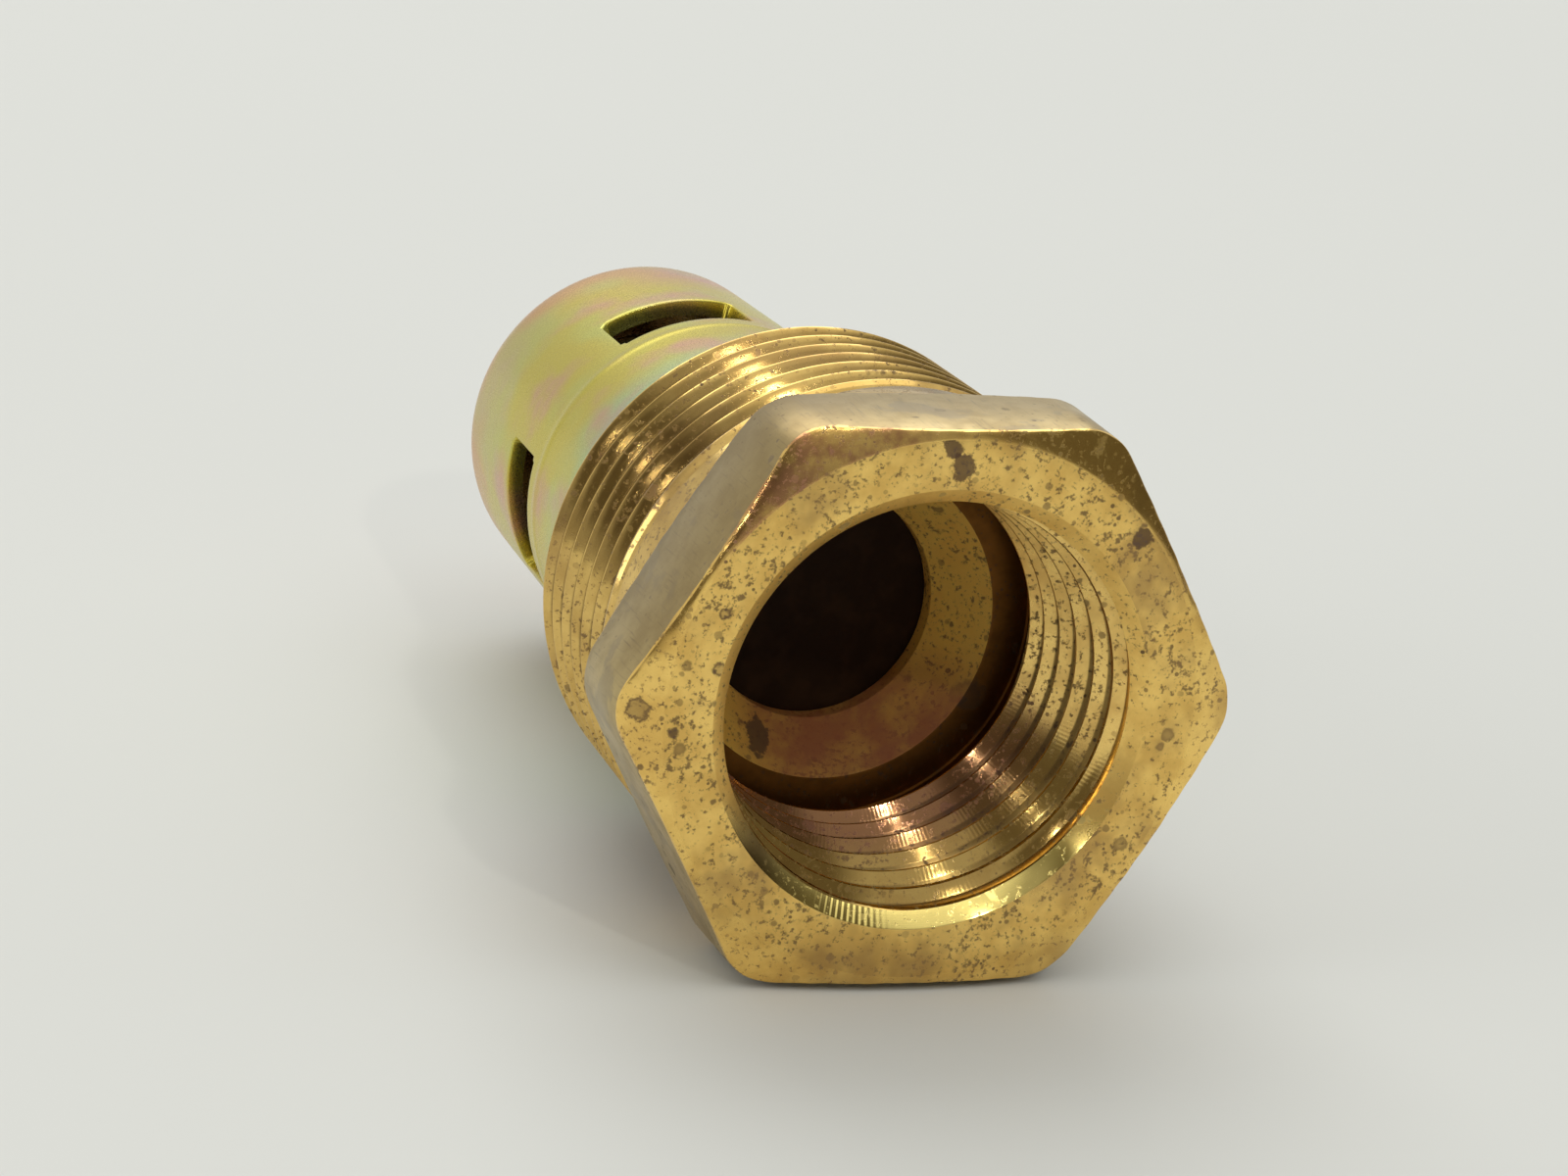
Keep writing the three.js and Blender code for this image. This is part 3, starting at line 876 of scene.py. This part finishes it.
def bore_brass():
    """The female thread: golden and matt on the right, rosy where it is low and deep."""
    s = brass("bore_brass", (0.98, 0.68, 0.22), (0.80, 0.52, 0.16), BROWN, 1.3, 0.10)
    deep = s.both(s.ramp(s.y, 4.7, 9.0), s.ramp(s.z, -1.0, -6.5))
    s.colour = s.mix(s.math("MULTIPLY", deep, 0.8), s.colour, ROSE)
    s.rough = s.math("ADD", s.rough, s.ramp(s.z, -5.0, -1.5, 0.0, 0.18))
    share = s.math("MULTIPLY", s.math("SUBTRACT", THREAD_END, s.y), 1 / (THREAD_END - FLARE_Y))
    flare = s.math("MULTIPLY", s.math("MULTIPLY", share, share), BORE_FLARE)
    # Painted shade and dirt deep in the female thread's grooves.
    soot_and_groove_shade(s, s.math("SUBTRACT", s.radius, s.math("ADD", flare, BORE_RADIUS)), 0.53, 0.63)
    s.brushed(0.75)
    height = s.math("ADD", s.math("MULTIPLY", chatter(s, 300.0), 0.35), s.cloud)
    return finish_brass(s, height, 0.12, 0.012)


def sink_brass():
    """The countersink: a painted highlight at the bottom, brown at one end, with the tool's teeth
    between.
    """
    s = brass("sink_brass", YELLOW, GOLD, BROWN, 0.6, 0.30)
    # Painted highlight: the bottom of the countersink is painted brighter, and is also smoother there.
    low = s.ramp(s.z, -4.5, -8.0)
    s.colour = s.mix(low, s.colour, (0.98, 0.78, 0.25))
    s.colour = s.mix(s.math("MULTIPLY", s.band(s.turn, -2.42, 0.42), 0.9), s.colour, BROWN)
    s.rough = s.math("SUBTRACT", s.rough, s.math("MULTIPLY", low, 0.18))
    s.brushed(0.5)
    teeth = s.math("MULTIPLY", s.math("SINE", s.math("MULTIPLY", s.turn, 210.0)),
                   s.band(s.turn, -1.88, 0.27))
    height = s.math("ADD", s.math("MULTIPLY", teeth, 1.2), turning_rings(s, 0.2))
    return finish_brass(s, height, 0.3, 0.03)


def inner_brass():
    """The cone, seat and chamber: golden, darker and rosy low on the cone, as tarnish and painted shade.
    """
    s = brass("inner_brass", (1.0, 0.66, 0.14), (0.98, 0.60, 0.12), (0.12, 0.06, 0.03), 1.6, 0.45)
    # Painted shade and rosy tarnish: the lower left of the cone is painted darker and rosy.
    low = s.both(s.ramp(s.z, -1.0, -5.5), s.ramp(s.x, -5.5, -1.5))
    patchy = s.ramp(s.noise(s.place, 0.5, 4, 0.6), 0.25, 0.65, 0.55, 0.95)
    s.colour = s.mix(s.math("MULTIPLY", low, patchy), s.colour, (0.42, 0.15, 0.07))
    stained(s, -3.1, -6.6, 0.8)
    finish_brass(s, turning_rings(s, 0.8), 0.3, 0.02)
    return s.set(Metallic=s.ramp(s.marks, 0.0, 1.0, 0.05, 0.0, False))


def undercut_oxide_and_shade():
    """The relief behind the thread: dark brown, partly oxide and partly painted shade in the recess."""
    # Painted shade and oxide: the whole recess is a dark brown copy of the brass.
    s = brass("undercut_oxide_and_shade", (0.20, 0.085, 0.018), (0.13, 0.055, 0.012), (0.05, 0.025, 0.01),
              0.0, 0.42)
    return finish_brass(s, turning_rings(s, 0.8), 0.3, 0.02)


def yellow_zinc():
    """Yellow chromate: olive and yellow, turning green near the brass and pink at the far end."""
    s = Shader("yellow_zinc")
    cloud = s.noise(s.place, 0.16, 3, 0.5)
    shift = s.math("MULTIPLY", s.math("SUBTRACT", cloud, 0.5), 9.0)
    along = s.math("ADD", s.y, shift)
    yellow = (0.60, 0.50, 0.075)
    colour = s.mix(s.ramp(along, 26.2, 33.2), (0.38, 0.57, 0.34), yellow)
    colour = s.mix(s.math("MULTIPLY", s.ramp(along, 42.7, 49.2), 0.7), colour, (0.66, 0.34, 0.22))
    patch = s.ramp(s.noise(s.place, 0.20, 3, 0.5), 0.46, 0.74)
    colour = s.mix(s.math("MULTIPLY", patch, 0.8), colour, (0.64, 0.31, 0.28))
    green = s.ramp(s.noise(s.place, 0.13, 2), 0.50, 0.66)
    colour = s.mix(s.math("MULTIPLY", green, 0.35), colour, (0.46, 0.62, 0.22))
    grain = s.noise(s.place, 9.0, 3)
    s.bump(grain, 0.12, 0.02)
    return s.set(Base_Color=colour, Metallic=0.9, Roughness=s.ramp(grain, 0.2, 0.8, 0.24, 0.34))


def seat_rubber():
    s = Shader("seat_rubber")
    grain = s.noise(s.place, 5.0, 3)
    dust = s.noise(s.place, 0.6, 2)
    colour = s.mix(s.ramp(dust, 0.4, 0.8), (0.024, 0.010, 0.003), (0.042, 0.019, 0.007))
    s.bump(grain, 0.2, 0.03)
    return s.set(Base_Color=colour, Roughness=s.ramp(grain, 0.2, 0.8, 0.5, 0.65),
                 Specular_IOR_Level=0.12)


def black_nylon():
    s = Shader("black_nylon")
    grain = s.noise(s.place, 7.0, 2)
    colour = s.mix(s.noise(s.place, 0.8, 2), (0.010, 0.010, 0.010), (0.022, 0.021, 0.020))
    s.bump(grain, 0.2, 0.02)
    return s.set(Base_Color=colour, Roughness=s.ramp(grain, 0.2, 0.8, 0.38, 0.5))


def spring_steel():
    s = Shader("spring_steel")
    grain = s.noise(s.place, 2.5, 4)
    colour = s.mix(s.ramp(grain, 0.3, 0.7), (0.50, 0.50, 0.49), (0.36, 0.35, 0.33))
    s.bump(grain, 0.15, 0.02)
    return s.set(Base_Color=colour, Metallic=1.0, Roughness=s.ramp(grain, 0.3, 0.7, 0.24, 0.38))


# ------------------------------------------------------------------ floor, light and camera
def floor():
    """A pale floor under the rear edge of the hexagon and the end of the thread, where it rests."""
    heel_y = HEX_HEIGHT - chamfer_y(FLAT)
    toe_y = BODY_LENGTH - END_CHAMFER
    rise = (FLAT - shank_radius(toe_y)) / (toe_y - heel_y)
    size = 3000
    corners = [(-size, -size), (size, -size), (size, size), (-size, size)]
    points = [(x, y, -FLAT + rise * (y - heel_y)) for x, y in corners]
    piece = mesh_object("floor", points, [[0, 1, 2, 3]])
    s = Shader("floor_white")
    tone = s.noise(s.place, 0.01, 2)
    colour = s.mix(tone, (0.63, 0.641, 0.612), (0.65, 0.661, 0.632))
    dress(piece, s.set(Base_Color=colour, Roughness=0.7))


def room():
    """The room as the brass mirrors it: pale, darker in front, with three dark shapes there."""
    world = bpy.data.worlds.new("room")
    bpy.context.scene.world = world
    world.use_nodes = True
    tree = world.node_tree
    tree.nodes.clear()
    out = tree.nodes.new("ShaderNodeOutputWorld")
    split = tree.nodes.new("ShaderNodeSeparateXYZ")
    way = tree.nodes.new("ShaderNodeTexCoord").outputs["Generated"]
    tree.links.new(way, split.inputs[0])

    def step(value, low, high):
        node = tree.nodes.new("ShaderNodeMapRange")
        node.interpolation_type = "SMOOTHSTEP"
        tree.links.new(value, node.inputs["Value"])
        node.inputs["From Min"].default_value = low
        node.inputs["From Max"].default_value = high
        return node.outputs["Result"]

    def mixed(share, a, b):
        node = tree.nodes.new("ShaderNodeMix")
        node.data_type = "RGBA"
        tree.links.new(share, node.inputs["Factor"])
        for colour, socket in ((a, node.inputs[6]), (b, node.inputs[7])):
            if isinstance(colour, bpy.types.NodeSocket):
                tree.links.new(colour, socket)
            else:
                socket.default_value = (*colour, 1)
        return node.outputs[2]

    def near(direction, inner_deg, outer_deg):
        """1 within inner_deg of a direction, 0 outside outer_deg."""
        node = tree.nodes.new("ShaderNodeVectorMath")
        node.operation = "DOT_PRODUCT"
        tree.links.new(way, node.inputs[0])
        node.inputs[1].default_value = Vector(direction).normalized()
        return step(node.outputs["Value"], math.cos(math.radians(outer_deg)),
                    math.cos(math.radians(inner_deg)))

    wall = (0.64, 0.64, 0.63)
    front = (0.33, 0.32, 0.30)
    dim = (0.20, 0.19, 0.16)
    dark = (0.105, 0.092, 0.070)
    ceiling = (0.80, 0.80, 0.78)
    seen = mixed(step(split.outputs[1], -0.45, -0.05), front, wall)
    seen = mixed(step(split.outputs[2], 0.62, 0.75), seen, ceiling)
    seen = mixed(near((-0.62, -0.55, 0.56), 10, 20), seen, dim)
    seen = mixed(near((-0.42, -0.87, 0.25), 13, 21), seen, dark)
    seen = mixed(near((0.75, -0.60, 0.25), 19, 30), seen, dark)
    light = tree.nodes.new("ShaderNodeBackground")
    tree.links.new(seen, light.inputs["Color"])
    backdrop = tree.nodes.new("ShaderNodeBackground")
    backdrop.inputs["Color"].default_value = (*wall, 1)
    choose = tree.nodes.new("ShaderNodeMixShader")
    path = tree.nodes.new("ShaderNodeLightPath")
    tree.links.new(path.outputs["Is Camera Ray"], choose.inputs[0])
    tree.links.new(light.outputs[0], choose.inputs[1])
    tree.links.new(backdrop.outputs[0], choose.inputs[2])
    tree.links.new(choose.outputs[0], out.inputs["Surface"])


def lamp(name, direction, distance, size, watts, colour=(1, 1, 1)):
    """A soft rectangular light, size (across, up), that looks at the origin from a direction."""
    data = bpy.data.lights.new(name, "AREA")
    data.shape = "RECTANGLE"
    data.size, data.size_y = size
    data.energy = watts
    data.color = colour
    piece = bpy.data.objects.new(name, data)
    bpy.context.scene.collection.objects.link(piece)
    towards = Vector(direction).normalized()
    piece.location = towards * distance
    piece.rotation_mode = "QUATERNION"
    piece.rotation_quaternion = towards.to_track_quat("Z", "Y")


def lights():
    lamp("front_panel", (0.03, -0.38, 0.92), 1.2, (1.3, 0.5), 1.7, (1.0, 0.98, 0.94))
    lamp("overhead_panel", (0.02, 0.62, 0.79), 1.2, (1.1, 0.9), 6.1)
    lamp("left_window", (-0.92, -0.10, 0.30), 1.2, (0.6, 0.6), 2.3)
    lamp("small_lamp_left", (-0.438, -0.835, 0.332), 0.9, (0.014, 0.014), 0.17, (1.0, 0.95, 0.85))
    lamp("small_lamp_right", (0.028, -0.781, 0.625), 0.9, (0.03, 0.03), 0.6, (1.0, 0.95, 0.85))


def camera():
    data = bpy.data.cameras.new("camera")
    data.sensor_width = 36
    data.lens = 135
    data.clip_start = 0.01
    data.clip_end = 20
    piece = bpy.data.objects.new("camera", data)
    bpy.context.scene.collection.objects.link(piece)
    right = Vector((0.93934, -0.32521, 0.10899))
    up = Vector((-0.00326, 0.30931, 0.95096))
    back = right.cross(up)
    pose = Matrix((right, up, back)).transposed().to_4x4()
    pose.translation = Vector((-105.138, -251.848, 87.922)) * MM + Vector((0, INLET_Y, 0))
    piece.matrix_world = pose
    bpy.context.scene.camera = piece


# ------------------------------------------------------------------ the scene
valve_body()
retainer_cage()
seat_disc()
poppet()
spring()
floor()
room()
lights()
camera()
bpy.context.scene.view_settings.view_transform = "Standard"
